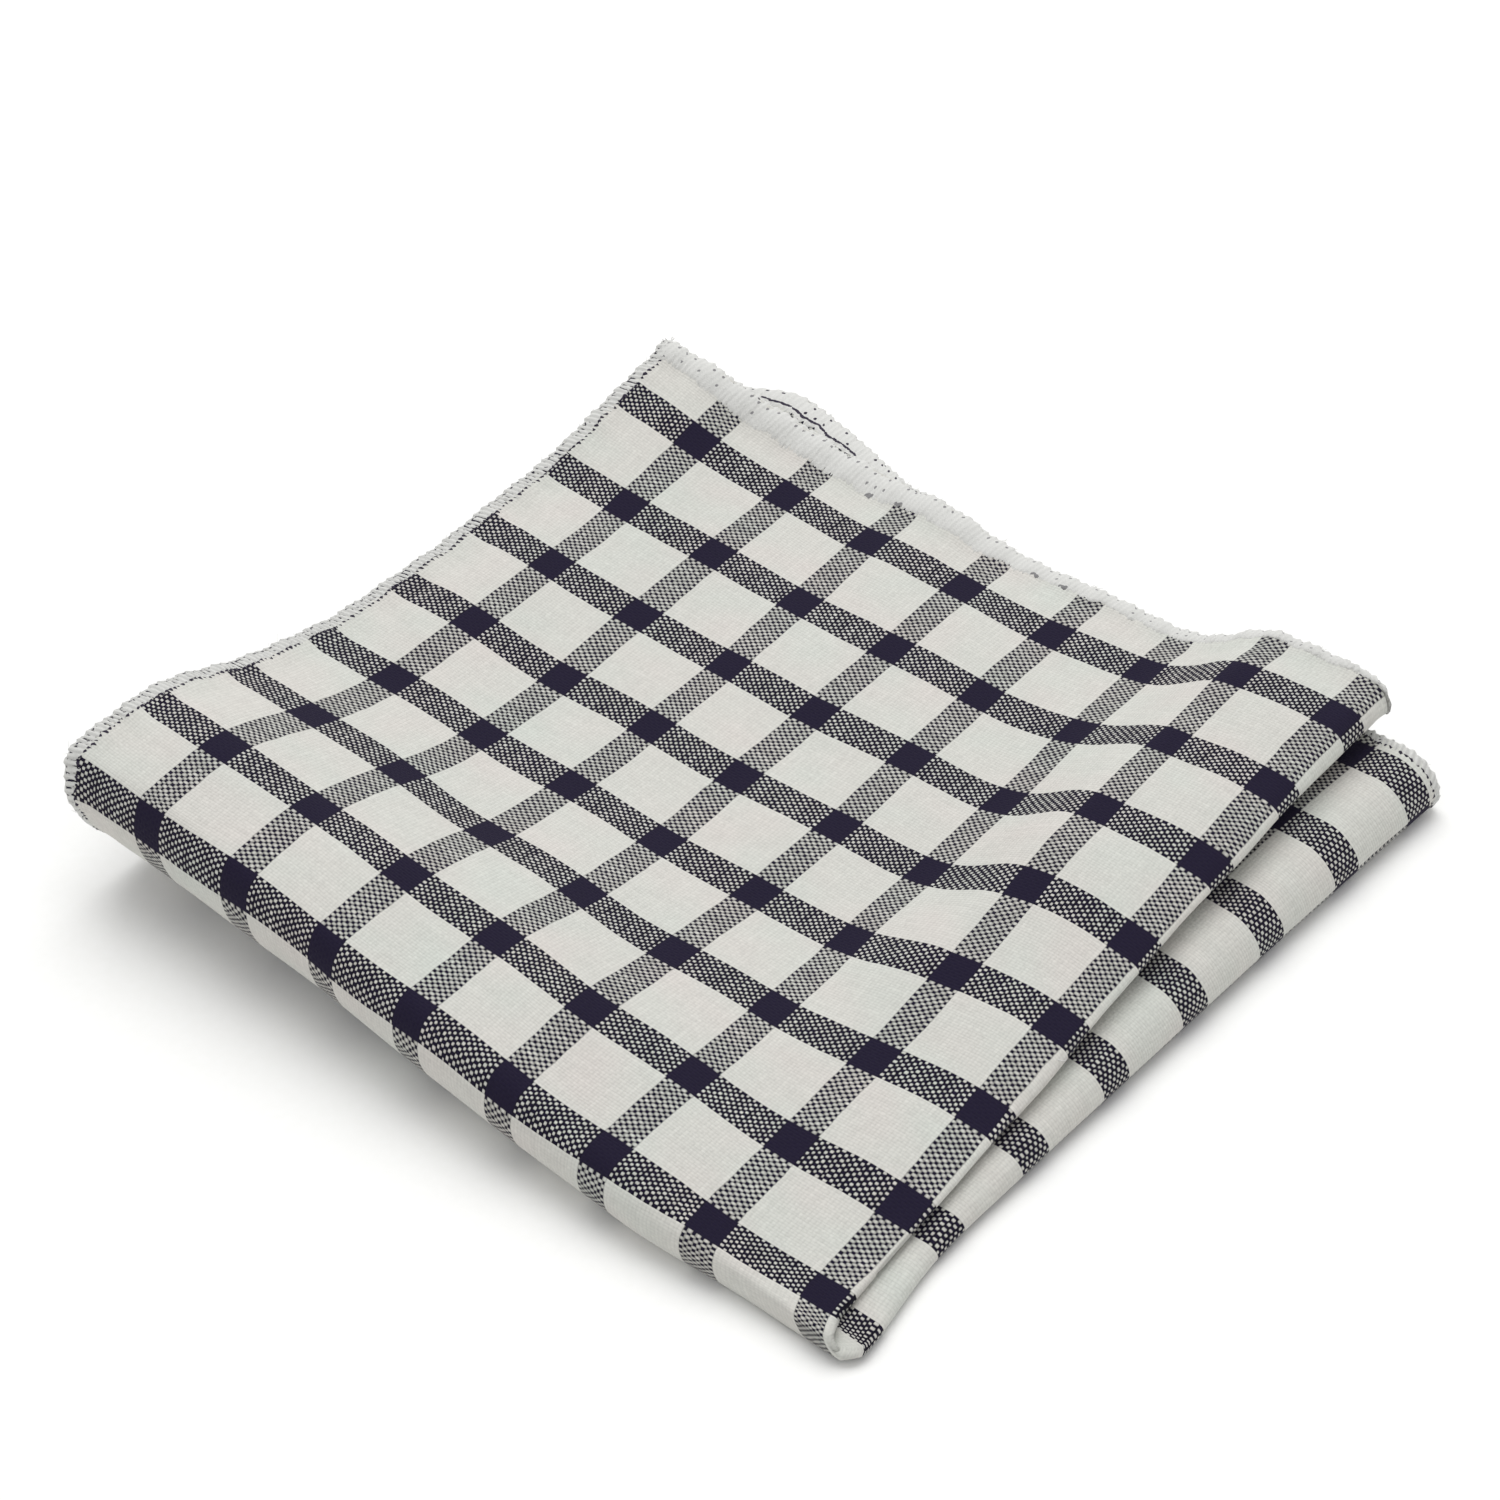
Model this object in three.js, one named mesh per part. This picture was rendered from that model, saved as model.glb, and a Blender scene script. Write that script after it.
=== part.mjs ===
// Pocket square: one square of cloth, folded in half and in half again, lying flat in four layers.
// Millimetres, +Z up. x runs along the outer fold, y from the outer fold to the loose hems.
import * as THREE from "three";

// The cloth, flat
const WIDE = 230;          // across the first fold, hem to hem
const LONG = 229;          // across the second fold, hem to hem
const THICK = 1.0;         // cloth thickness
const FIRST_FOLD = 115.2;  // from the left hem to the first fold
const SECOND_FOLD = 114.8;   // from the far hem to the second fold, at the corner where both folds meet

// The folded stack
const LAYER = 1.5;         // middle to middle of two layers lying on each other
const FLAT_STACK = 3 * LAYER;
const TURN_UPPER = THREE.MathUtils.degToRad(1.55);  // the upper half lies this much off square to the outer fold
const TURN_LOWER = THREE.MathUtils.degToRad(0.9);   // and the lower half this much the other way
const NOSE_X = 118.6;      // the upper doubled fold, at the corner where both folds meet
const SPLAY = 1.1;         // the lower doubled fold stands out past it there
const SPLAY_SPAN = 5;      // and comes to that over this much cloth, each side of the outer fold
const TIP = { out: 2.8, along: -4.5, below: 8, above: 3.2, fromX: 100, fullX: 118 };  // the corner itself is drawn out

// How the stack swells above its flat height. x and y give [crest, width below it, width above it] of a soft bell,
// and fade gives [axis, where it is gone, where it is full].
const SWELLS = [
  { name: "outer fold",   height: 11.5, x: null,           y: [7.3, 26, 14.5], fade: ["x", 124, 21] },
  { name: "doubled fold", height: 5.6,  x: [97, 5.4, 26], y: null,             fade: ["y", 8, 78] },
  { name: "left hem",     height: 3.5,  x: [0, 18, 18],    y: null,            fade: null },
  { name: "far hem",      height: 3.1,  x: null,           y: [108, 36, 36],   fade: null },
  { name: "far corner",   height: 5.2,  x: [0, 13, 13],    y: [108, 13, 13],   fade: null },
  { name: "soft crease",  height: 0.9,  x: [47, 4.5, 4.5], y: [110, 22, 30],   fade: null },
];
// Share of each swell that opens between the two halves, where the rest opens inside each half
const OPENS_BETWEEN = {
  "outer fold": 0.45, "doubled fold": 0.06, "left hem": 0.8, "far hem": 0.8, "far corner": 0.8, "soft crease": 0.5,
};

// The outer fold
const LEAN = 0.23;         // how far above half height its front stands, where it is fullest
const FLATTEN = 0.43;      // how much its front is flattened there
const UNDERCUT = 2.6;      // how far its underside runs back there, against its upper side
const FRONT_SLIDE = 2.6;   // how far its full end draws in along x
const FRONT_DEPTH = 40;    // the part of the cloth that draws in
const SETTLE = 5;          // in lengths of its turn, how soon the inner layers come level with the outer ones

// Cloth taken up by the swell over the doubled fold
const TAKE_UP = 4.2;
const TAKE_FROM_X = 72;
const TAKE_FULL_X = 117;
const TAKE_FULL_Y = 95;

// The second layer's hem shows behind the top one
const PEEK = { out: 9, x: 17.5, below: 4.8, above: 18, fromY: 60, fullY: 112 };

// Sampling
const NOSE_STEPS = 5;      // over a quarter turn of the doubled fold
const LEAF_STEPS = 17;     // from the doubled fold to a hem
const TURN_STEPS = 12;     // over the curved part of the outer fold, each side
const TURN_SPAN = 17;      // its length along the cloth
const TURN_FINEST = 0.3;   // the first step at the fold line
const HALF_STEPS = 13;     // from there to a hem

const clamp01 = (u) => Math.min(Math.max(u, 0), 1);
const ease = (u) => clamp01(u) ** 2 * (3 - 2 * clamp01(u));
const bell = (d, below, above) => Math.exp(-0.5 * (d / (d < 0 ? below : above)) ** 2);

// One swell's height at a place
function swellAt(row, x, y) {
  const overX = row.x ? bell(x - row.x[0], row.x[1], row.x[2]) : 1;
  const overY = row.y ? bell(y - row.y[0], row.y[1], row.y[2]) : 1;
  if (!row.fade) return row.height * overX * overY;
  const [axis, gone, full] = row.fade;
  return row.height * overX * overY * ease(((axis === "x" ? x : y) - gone) / (full - gone));
}

// Height from the lowest layer to the top one, the gap between the two halves, and where the middle lies in it
function stackAt(x, y) {
  let height = FLAT_STACK;
  let between = LAYER;
  let roll = 0;
  for (const row of SWELLS) {
    const rise = swellAt(row, x, y);
    height += rise;
    between += rise * OPENS_BETWEEN[row.name];
    if (row.name === "outer fold") roll = rise / row.height;
  }
  return { height, between, middle: 0.5 + LEAN * roll };
}

const frontFade = (x) => { const [, gone, full] = SWELLS[0].fade; return ease((x - gone) / (full - gone)); };
const shareOf = (level, middle) => middle + (level > 0 ? 1 - middle : middle) * level;

// The doubled fold's turn at a distance along it from the outer fold: its radius
function noseRadius(along) {
  const y = Math.abs(along);
  const x = along > 0 ? NOSE_X - Math.sin(TURN_UPPER) * along : NOSE_X + SPLAY + Math.sin(TURN_LOWER) * y;
  const { height, between } = stackAt(x, y);
  return (height - between) / 4;
}

// Where a point of the flat cloth lies in the folded one.
// s runs from the left hem, t from the far hem of the top layer.
function folded(s, t) {
  const w = SECOND_FOLD - t;
  const fromFirst = Math.abs(s - FIRST_FOLD);
  const leaf = s < FIRST_FOLD ? 1 : -1;

  const radius = noseRadius(w);
  const quarter = 0.5 * Math.PI * radius;
  const bend = 0.5 * Math.PI * Math.min(fromFirst / quarter, 1);
  const inward = radius * (1 - Math.cos(bend)) + Math.max(fromFirst - quarter, 0);
  const side = leaf * Math.sin(bend);

  const along = w * Math.cos(TURN_UPPER) - inward * Math.sin(TURN_UPPER);
  const x0 = NOSE_X - inward * Math.cos(TURN_UPPER) - w * Math.sin(w > 0 ? TURN_UPPER : TURN_LOWER);
  const upper = along > 0;

  const front = stackAt(x0, 0);
  const part = front.between / front.height;
  const reach = (1 + part) / 2 + (1 - part) / 2 * side;
  const ahead = front.height * (1 - front.middle) * (1 - FLATTEN * frontFade(x0));
  const lower = ahead * front.middle / (1 - front.middle) * (1 + (UNDERCUT - 1) * frontFade(x0));
  const depth = upper ? ahead : lower;
  const rise = front.height * (upper ? 1 - front.middle : front.middle);
  const outerArc = 0.5 * Math.PI * Math.sqrt((depth ** 2 + rise ** 2) / 2);
  const arc = reach * outerArc;
  const turn = 0.5 * Math.PI * Math.min(Math.abs(along) / arc, 1);
  const settled = (outerArc - arc) * ease(Math.abs(along) / (SETTLE * outerArc));
  const y0 = reach * (depth * (1 - Math.cos(turn)) - ahead) + Math.max(Math.abs(along) - arc, 0) - settled;
  const half = (upper ? 1 : -1) * Math.sin(turn);

  const draft = stackAt(x0, y0);
  const taken = TAKE_UP * ease((x0 - TAKE_FROM_X) / (TAKE_FULL_X - TAKE_FROM_X)) * clamp01(y0 / TAKE_FULL_Y);
  const slid = FRONT_SLIDE * frontFade(x0) * (1 - ease(y0 / FRONT_DEPTH));
  const splayed = SPLAY * ease((SPLAY_SPAN - along) / (2 * SPLAY_SPAN));
  const nearTip = ease((x0 - TIP.fromX) / (TIP.fullX - TIP.fromX));
  const tip = TIP.out * bell(along - TIP.along, TIP.below, TIP.above) * nearTip;
  const x = x0 - taken * shareOf(half * reach, draft.middle) + slid + splayed + tip;
  const farther = ease((y0 - PEEK.fromY) / (PEEK.fullY - PEEK.fromY));
  const peek = PEEK.out * bell(x - PEEK.x, PEEK.below, PEEK.above) * farther;
  const y = y0 + peek * (1 - side) / 2 * (1 + half) / 2;

  const here = stackAt(x, y);
  const gap = here.between / here.height;
  const level = half * ((1 + gap) / 2 + (1 - gap) / 2 * side);
  return new THREE.Vector3(x, y, THICK / 2 + here.height * shareOf(level, here.middle));
}

// The cloth's upward side in the flat, carried to a folded place
function facing(s, t) {
  const tiny = 0.02;
  const alongS = folded(s + tiny, t).sub(folded(s - tiny, t));
  const alongT = folded(s, t + tiny).sub(folded(s, t - tiny));
  return alongT.cross(alongS).normalize();
}

// Distances from the first fold, finer round its turn
function leafSteps(length, quarter) {
  const steps = [];
  for (let i = 0; i < NOSE_STEPS; i++) steps.push(quarter * i / NOSE_STEPS);
  for (let i = 0; i <= LEAF_STEPS; i++) steps.push(quarter + (length - quarter) * i / LEAF_STEPS);
  return steps;
}

// Distances from the second fold, growing away from it and then even
function halfSteps(length) {
  const grow = Math.log(TURN_SPAN / TURN_FINEST) / Math.log(TURN_STEPS);
  const steps = [0];
  for (let i = 1; i <= TURN_STEPS; i++) steps.push(TURN_FINEST * i ** grow);
  for (let i = 1; i <= HALF_STEPS; i++) steps.push(TURN_SPAN + (length - TURN_SPAN) * i / HALF_STEPS);
  return steps;
}

// Every sampled place of the flat cloth, a row for each distance from the second fold
function flatPlaces() {
  const far = halfSteps(SECOND_FOLD);
  const near = halfSteps(LONG - SECOND_FOLD).slice(1);
  const farShares = far.slice().reverse().map((d) => d / SECOND_FOLD);
  const nearShares = near.map((d) => -d / (LONG - SECOND_FOLD));
  const rows = [...farShares, ...nearShares];
  return rows.map((share) => {
    const w = share * (share > 0 ? SECOND_FOLD : LONG - SECOND_FOLD);
    const quarter = 0.5 * Math.PI * noseRadius(w);
    const outer = leafSteps(FIRST_FOLD, quarter).reverse().map((d) => FIRST_FOLD - d);
    const inner = leafSteps(WIDE - FIRST_FOLD, quarter).slice(1).map((d) => FIRST_FOLD + d);
    return [...outer, ...inner].map((s) => {
      const slant = Math.abs(s - FIRST_FOLD) * Math.tan(TURN_UPPER) * (1 - Math.abs(share));
      return [s, SECOND_FOLD - w - slant];
    });
  });
}

// A closed solid: the cloth's two sides and its cut edge
function clothSolid() {
  const places = flatPlaces();
  const rows = places.length;
  const columns = places[0].length;
  const corners = [];
  for (const side of [0.5, -0.5]) {
    for (const row of places) {
      for (const [s, t] of row) corners.push(folded(s, t).addScaledVector(facing(s, t), side * THICK));
    }
  }
  const at = (side, r, c) => side * rows * columns + r * columns + c;
  const index = [];
  const quad = (a, b, c, d) => index.push(a, b, c, a, c, d);
  for (let r = 0; r + 1 < rows; r++) {
    for (let c = 0; c + 1 < columns; c++) {
      quad(at(0, r, c), at(0, r + 1, c), at(0, r + 1, c + 1), at(0, r, c + 1));
      quad(at(1, r, c), at(1, r, c + 1), at(1, r + 1, c + 1), at(1, r + 1, c));
    }
  }
  for (let r = 0; r + 1 < rows; r++) {
    quad(at(0, r, 0), at(1, r, 0), at(1, r + 1, 0), at(0, r + 1, 0));
    quad(at(0, r, columns - 1), at(0, r + 1, columns - 1), at(1, r + 1, columns - 1), at(1, r, columns - 1));
  }
  for (let c = 0; c + 1 < columns; c++) {
    quad(at(0, 0, c), at(0, 0, c + 1), at(1, 0, c + 1), at(1, 0, c));
    quad(at(0, rows - 1, c), at(1, rows - 1, c), at(1, rows - 1, c + 1), at(0, rows - 1, c + 1));
  }
  const geometry = new THREE.BufferGeometry();
  geometry.setAttribute("position", new THREE.Float32BufferAttribute(corners.flatMap((p) => [p.x, p.y, p.z]), 3));
  geometry.setIndex(index);
  geometry.computeBoundingBox();
  const box = geometry.boundingBox;
  geometry.translate(-(box.min.x + box.max.x) / 2, -(box.min.y + box.max.y) / 2, -box.min.z);
  geometry.computeVertexNormals();
  return geometry;
}

const cloth = new THREE.MeshStandardMaterial({ name: "cloth", color: 0xdedcd2, roughness: 0.9, side: THREE.DoubleSide });
const square = new THREE.Mesh(clothSolid(), cloth);
square.name = "pocket_square";

const part = new THREE.Group();
part.name = "pocket_square_folded";
part.add(square);
export default part;
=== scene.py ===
# %% [markdown]
# # A checked pocket square, folded in four
# A pocket square is a small hemmed square of woven cloth. This one is folded in half, then in half
# again across that fold, and lies on a table with its rounded outer fold to the front. The solid of
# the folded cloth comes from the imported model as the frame, so everything below is placed against it.
# The visual model is a thinner sheet on the same folds, its overlocked hems and a few loose threads.

import math

import bpy
import numpy as np
from mathutils import Matrix, Vector


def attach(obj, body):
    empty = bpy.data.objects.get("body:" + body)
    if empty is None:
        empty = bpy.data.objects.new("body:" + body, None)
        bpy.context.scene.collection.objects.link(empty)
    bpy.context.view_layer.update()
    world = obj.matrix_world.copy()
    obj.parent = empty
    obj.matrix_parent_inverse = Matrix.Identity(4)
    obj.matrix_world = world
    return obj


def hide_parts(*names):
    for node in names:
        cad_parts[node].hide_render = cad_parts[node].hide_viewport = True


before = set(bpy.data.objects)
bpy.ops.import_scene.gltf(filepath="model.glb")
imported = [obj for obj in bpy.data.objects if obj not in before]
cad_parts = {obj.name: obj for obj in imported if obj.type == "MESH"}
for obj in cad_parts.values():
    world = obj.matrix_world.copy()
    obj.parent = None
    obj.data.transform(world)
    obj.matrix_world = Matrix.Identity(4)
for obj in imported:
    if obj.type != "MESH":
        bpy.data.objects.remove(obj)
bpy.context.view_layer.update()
MM = 0.001

# %% [markdown]
# ## The camera
# A long lens looks down on the near corner of the square, where both folds meet. Three angles say it
# best: how far round the object the camera stands, how high above it, and how much it leans to one
# side. The right, up and backward directions that follow from them are the columns of its matrix.

# %% Camera
AROUND = math.radians(42.82)
ABOVE = math.radians(41.17)
LEANING = math.radians(-1.86)
AIM = Vector((-11.53, 9.29, 0.0)) * MM
AWAY = 442.2 * MM
LENS = 86.66
SENSOR = 36.0


def camera_matrix(around, above, leaning, aim, away):
    """Backward points from the aim to the camera, right is level, up is square to both, and the lean
    turns right and up about the line of sight."""
    back = Vector((
        math.sin(around) * math.cos(above),
        -math.cos(around) * math.cos(above),
        math.sin(above),
    ))
    level = Vector((math.cos(around), math.sin(around), 0.0))
    upright = back.cross(level)
    right = math.cos(leaning) * level + math.sin(leaning) * upright
    up = math.cos(leaning) * upright - math.sin(leaning) * level
    turned = Matrix((right, up, back)).transposed().to_4x4()
    turned.translation = aim + away * back
    return turned


lens = bpy.data.cameras.new("camera")
lens.lens = LENS
lens.sensor_width = SENSOR
lens.clip_start = 0.01
camera = bpy.data.objects.new("camera", lens)
camera.matrix_world = camera_matrix(AROUND, ABOVE, LEANING, AIM, AWAY)
bpy.context.scene.collection.objects.link(camera)
bpy.context.scene.camera = camera
print("camera, mm:", [round(c / MM, 1) for c in camera.location])

# %% [markdown]
# ## How the stack of layers swells
# A folded cloth never lies quite flat: its folds spring open, its hems lift, and the four layers are
# a little apart. One height over the table says all of that, the height from the lowest layer to
# the top one. It is a flat stack plus a short table of soft bells, a row for each swell: the outer
# fold, the doubled fold, the left hem, the far hem, the far corner and a soft crease. x and y give
# crest, width below and width above, and fade gives where a swell is gone and where it is full. Part
# of each row opens between the upper and the lower half, and the rest inside each half.

# %% Sizes of the cloth and its swells
WIDE = 230.0
LONG = 229.0
SOLID_THICK = 1.0
FIRST_FOLD = 115.2
SECOND_FOLD = 114.8
LAYER = 1.5
FLAT_STACK = 3 * LAYER
REPEAT = 14.2

SWELLS = [
    dict(height=11.5, x=None, y=(7.3, 26.0, 14.5), fade=("x", 124.0, 21.0), between=0.45),
    dict(height=5.6, x=(97.0, 5.4, 26.0), y=None, fade=("y", 8.0, 78.0), between=0.06),
    dict(height=3.5, x=(0.0, 18.0, 18.0), y=None, fade=None, between=0.8),
    dict(height=3.1, x=None, y=(108.0, 36.0, 36.0), fade=None, between=0.8),
    dict(height=5.2, x=(0.0, 13.0, 13.0), y=(108.0, 13.0, 13.0), fade=None, between=0.8),
    dict(height=0.9, x=(47.0, 4.5, 4.5), y=(110.0, 22.0, 30.0), fade=None, between=0.5),
]
OUTER_FOLD = SWELLS[0]
LEAN = 0.23
BESIDE = dict(x=(90.0, 118.0), lean=0.18, closing=0.45)
CORNER = dict(drop=1.8, x=(80.0, 118.0), y=16.0, between=0.2)


def ease(u):
    """From 0 to 1 with a flat start and a flat end: 3u squared minus 2u cubed."""
    u = np.clip(u, 0.0, 1.0)
    return u * u * (3.0 - 2.0 * u)


def ramp(value, span):
    """From 0 at the start of a span to 1 at its end, eased."""
    return ease((value - span[0]) / (span[1] - span[0]))


def bell(distance, below, above=None):
    """A bell curve with one width below its crest and, where one is given, another above it."""
    return np.exp(-0.5 * (distance / np.where(distance < 0, below, above or below)) ** 2)


def fade_of(row, x, y):
    """How much of a swell is there: it eases from where it is gone to where it is full."""
    axis, gone, full = row["fade"]
    return ramp(x if axis == "x" else y, (gone, full))


def swell(row, x, y):
    """A swell's height times its bell across x, its bell across y and its fade."""
    rise = row["height"] + 0.0 * x
    for place, axis in ((x, "x"), (y, "y")):
        if row[axis]:
            crest, below, above = row[axis]
            rise = rise * bell(place - crest, below, above)
    return rise * fade_of(row, x, y) if row["fade"] else rise


def sunk(x, y):
    """How far the near corner, where both folds cross, is pressed down."""
    return CORNER["drop"] * ramp(x, CORNER["x"]) * bell(y, CORNER["y"])


def stack(x, y):
    """The stack's height, the gap between its halves, and where the middle of that gap lies in the
    height: at half of it, or higher where the outer fold leans forward and beside the doubled fold,
    where the lower half is thick and round and the upper half is pressed thin on it."""
    rises = [swell(row, x, y) for row in SWELLS]
    beside = ramp(x, BESIDE["x"])
    height = FLAT_STACK + sum(rises) - sunk(x, y)
    opened = sum(rise * row["between"] for rise, row in zip(rises, SWELLS))
    between = LAYER + opened - CORNER["between"] * sunk(x, y)
    middle = 0.5 + LEAN * rises[0] / OUTER_FOLD["height"] + BESIDE["lean"] * beside
    return height, between * (1.0 - BESIDE["closing"] * beside), middle


places_x, places_y = np.array([20.0, 117.0]), np.array([8.0, 0.0])
print("stack, mm, at the left front and the near corner:", stack(places_x, places_y)[0].round(1))

# %% [markdown]
# ## The first fold
# The square was folded in half first, which makes the doubled fold on the right. A fold in soft
# cloth is a half circle: each leaf leaves it after a quarter turn. So a point of the flat cloth is
# told by its distance from the fold line: within a quarter turn it lies on the circle, and past it
# on the leaf. Arrays of points go through together, with no loop. At the near corner, where the outer
# fold crosses it, the doubled fold is pinched thin and its lower half is drawn out to a tip.

# %% The doubled fold
TURN_UPPER = math.radians(1.55)
TURN_LOWER = math.radians(0.9)
NOSE_X = 118.6
SPLAY = 1.1
SPLAY_SPAN = 5.0
TIP = dict(out=2.8, along=-4.5, upper=3.2, lower=8.0, x=(100.0, 118.0))
TIP_PINCH = dict(share=0.78, span=6.0)


def nose_radius(w):
    """Half of the height that one half of the stack takes up, at the doubled fold. w is the distance
    along that fold from the outer fold, positive on the upper half."""
    x = NOSE_X + np.where(w > 0, -math.sin(TURN_UPPER) * w, SPLAY - math.sin(TURN_LOWER) * w)
    height, between, middle = stack(x, np.abs(w))
    upper = ramp(w, (-SPLAY_SPAN, SPLAY_SPAN))
    pinched = 1.0 - TIP_PINCH["share"] * bell(w, TIP_PINCH["span"])
    return (height - between) * (middle + upper * (1.0 - 2.0 * middle)) / 2 * pinched


def first_fold(s, w):
    """How far a point lies inward from the doubled fold, and its side: 1 on the outer leaf, -1 on the
    inner one and between them round the turn."""
    off_line = np.abs(s - FIRST_FOLD)
    radius = nose_radius(w)
    quarter = 0.5 * np.pi * radius
    bend = 0.5 * np.pi * np.minimum(off_line / quarter, 1.0)
    inward = radius * (1.0 - np.cos(bend)) + np.maximum(off_line - quarter, 0.0)
    return inward, np.where(s < FIRST_FOLD, 1.0, -1.0) * np.sin(bend)


print("doubled fold radius, mm, near corner and far end:", nose_radius(np.array([2.0, 110.0])).round(2))

# %% [markdown]
# ## The second fold
# The doubled cloth was then folded in half again, which makes the thick rounded fold at the front.
# Its outer leaf goes round outside its inner leaf, and the swell flattens its front and undercuts its
# lower side, so each quarter of the turn is part of an ellipse. Further in, the layers come level again.
# Towards the near corner the fold is pressed flat. Cloth that it then doesn't use is pushed ahead of it
# or taken up a little way in.

# %% The outer fold
FLATTEN = 0.43
UNDERCUT = 2.6
SETTLE = 5.0
PRESSED = dict(share=0.7, x=(92.0, 118.0))
SPARE_SPAN = 8.0
PUSHED = 0.8


def quarter_arc(depth, rise):
    """The length of a quarter of an ellipse, near enough: a quarter turn at the mean square radius."""
    return 0.5 * np.pi * np.sqrt((depth ** 2 + rise ** 2) / 2)


def second_fold(x, along, side):
    """Each quarter turn is an ellipse as deep and as high as the stack at the front allows, scaled to
    the leaf's own reach, less the cloth that a pressed fold has to spare. Gives the distance in from
    the front, the half, 1 on top and -1 below, and the reach."""
    height, between, middle = stack(x, 0.0 * x)
    full = fade_of(OUTER_FOLD, x, 0.0)
    part = between / height
    reach = (1.0 + part) / 2 + (1.0 - part) / 2 * side
    upper = along > 0
    pressed = PRESSED["share"] * ramp(x, PRESSED["x"])
    back = np.where(upper, 1.0, middle / (1.0 - middle) * (1.0 + (UNDERCUT - 1.0) * full))
    share_up = np.where(upper, 1.0 - middle, middle)
    free_height = height + sunk(x, 0.0 * x)
    free_ahead = free_height * (1.0 - middle) * (1.0 - FLATTEN * full)
    ahead = free_ahead * height / free_height * (1.0 - pressed)
    depth = ahead * back
    outer_arc = quarter_arc(depth, height * share_up)
    spare = quarter_arc(free_ahead * back, free_height * share_up) - outer_arc
    pushed = PUSHED * (quarter_arc(free_ahead, free_height) - quarter_arc(ahead, height)) * (1.0 - middle)
    arc = reach * outer_arc
    gone = np.abs(along)
    turn = 0.5 * np.pi * np.minimum(gone / arc, 1.0)
    settled = (outer_arc - arc) * ease(gone / (SETTLE * outer_arc))
    y = reach * (depth * (1.0 - np.cos(turn)) - ahead) + np.maximum(gone - arc, 0.0) - settled
    y = y - pushed - (spare - pushed) * ease(gone / SPARE_SPAN)
    return y, np.where(upper, 1.0, -1.0) * np.sin(turn), reach


fronts = second_fold(places_x, np.array([0.1, 0.1]), np.array([1.0, 1.0]))[0]
print("front of the outer fold, mm, at the left and at the near corner:", fronts.round(1))

# %% [markdown]
# ## From the flat square to the folded one
# Both folds together carry any point of the flat square to its place. s runs across the square from
# its left hem and t from its far hem, so one pair of numbers names a place on the cloth for the
# sheet, for its hems and for its woven check alike. Small slides make it as uneven as real cloth: the
# front draws in, the swell takes some cloth up, the upper doubled fold is pinched, and the second
# layer's hem peeps out at the back.

# %% The folded square
FRONT_SLIDE = 2.6
FRONT_DEPTH = 40.0
TAKE_UP = 4.2
TAKE_X = (72.0, 117.0)
TAKE_Y = 95.0
PEEK = dict(out=9.0, x=17.5, below=4.8, above=18.0, y=(60.0, 112.0))
PINCH = dict(share=0.5, span=8.0, y=(80.0, 110.0))


def share(level, middle):
    """A level from -1 at the lowest layer to 1 at the top one, as a share of the stack's height."""
    return middle + np.where(level > 0, 1.0 - middle, middle) * level


def folded(s, t):
    """The place in mm of flat points: first fold, second fold, slides along x, the peeping hem along
    y, and then the height of the point's own layer in the stack."""
    w = SECOND_FOLD - t
    inward, side = first_fold(s, w)
    along = w * math.cos(TURN_UPPER) - inward * math.sin(TURN_UPPER)
    slant = np.where(w > 0, math.sin(TURN_UPPER), math.sin(TURN_LOWER))
    x_in = NOSE_X - inward * math.cos(TURN_UPPER) - w * slant
    y_in, half, reach = second_fold(x_in, along, side)
    middle = stack(x_in, y_in)[2]
    taken = TAKE_UP * ramp(x_in, TAKE_X) * np.clip(y_in / TAKE_Y, 0.0, 1.0)
    slid = FRONT_SLIDE * fade_of(OUTER_FOLD, x_in, 0.0) * (1.0 - ease(y_in / FRONT_DEPTH))
    splayed = SPLAY * ramp(-along, (-SPLAY_SPAN, SPLAY_SPAN))
    tip = TIP["out"] * bell(along - TIP["along"], TIP["lower"], TIP["upper"]) * ramp(x_in, TIP["x"])
    x = x_in - taken * share(half * reach, middle) + slid + splayed + tip
    peek = PEEK["out"] * bell(x - PEEK["x"], PEEK["below"], PEEK["above"]) * ramp(y_in, PEEK["y"])
    y = y_in + peek * (1.0 - side) / 2 * (1.0 + half) / 2
    height, between, middle = stack(x, y)
    gap = between / height
    pinched = PINCH["share"] * (1.0 + half) / 2 * (1.0 - ramp(y_in, PINCH["y"]))
    pinched = np.maximum(pinched, TIP_PINCH["share"] * bell(along, TIP_PINCH["span"]))
    opened = side * (1.0 - pinched * (1.0 - ease(inward / PINCH["span"])))
    level = half * ((1.0 + gap) / 2 + (1.0 - gap) / 2 * opened)
    z = SOLID_THICK / 2 + height * share(level, middle)
    return np.stack([x, y, z], axis=-1)


def facing(surface, s, t):
    """The upward side of the flat cloth carried to its folded place: the cross product of a tiny step
    along t and a tiny step along s."""
    tiny = 0.02
    along_s = surface(s + tiny, t) - surface(s - tiny, t)
    along_t = surface(s, t + tiny) - surface(s, t - tiny)
    normal = np.cross(along_t, along_s)
    return normal / np.linalg.norm(normal, axis=-1, keepdims=True)


print("far left corner, mm:", folded(np.array(0.0), np.array(0.0)).round(1))
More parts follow.
